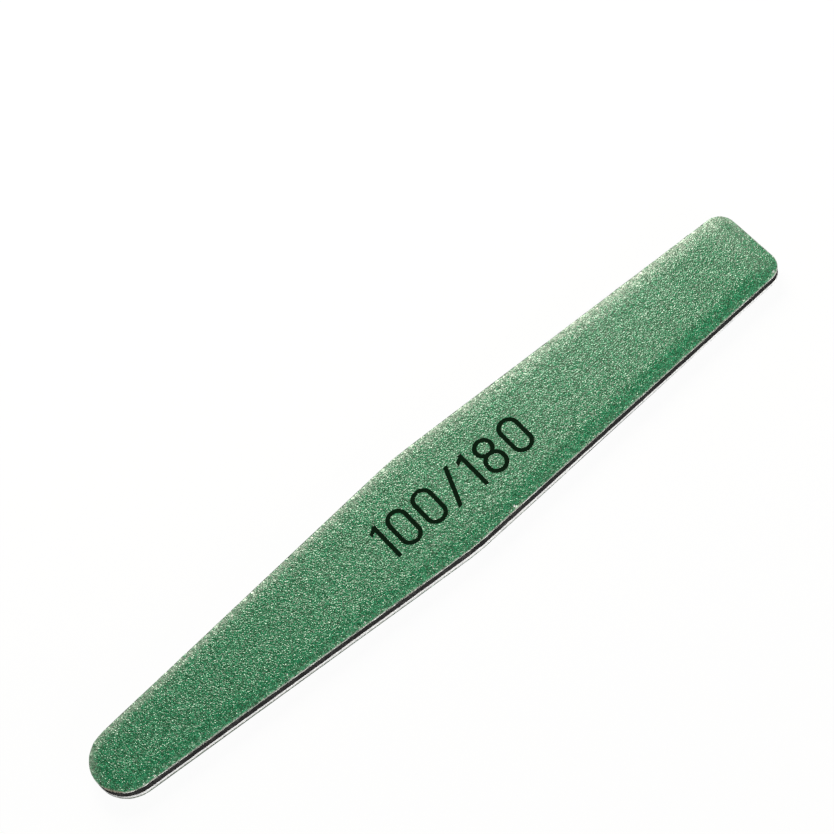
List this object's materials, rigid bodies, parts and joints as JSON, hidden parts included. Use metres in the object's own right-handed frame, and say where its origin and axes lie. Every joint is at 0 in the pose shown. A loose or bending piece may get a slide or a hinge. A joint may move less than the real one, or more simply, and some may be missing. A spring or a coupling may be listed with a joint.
{
  "type": "nail file",
  "caption": "Cushioned nail file: green abrasive papers, one coarse and one fine, over black foam and a stiff white core, round at one end, widest near the middle, flat at the other.",
  "frame": {"origin": "centre of the bounding box, on the coarse face underneath", "axes": "+X along the file from its round tip to its flat end, +Y across it, +Z out of the fine face"},
  "size_m": [0.178, 0.028, 0.004],
  "materials": {
    "coarse_grit": "coarse green abrasive grains in resin, rough, with glints",
    "fine_grit": "fine green abrasive grains in resin, with a pale bloom",
    "backing_paper": "white latex paper, cut edge",
    "adhesive_film": "translucent adhesive film, cut edge",
    "core_plastic": "white polystyrene, die-cut edge",
    "black_foam": "black closed-cell foam with cut cells along its edge"
  },
  "bodies": {
    "root": {"coarse_grit_coat": "coarse_grit", "coarse_backing_paper": "backing_paper", "lower_tape": "adhesive_film", "rigid_core": "core_plastic", "middle_tape": "adhesive_film", "foam_cushion": "black_foam", "upper_tape": "adhesive_film", "fine_backing_paper": "backing_paper", "fine_grit_coat": "fine_grit"}
  },
  "joints": []
}
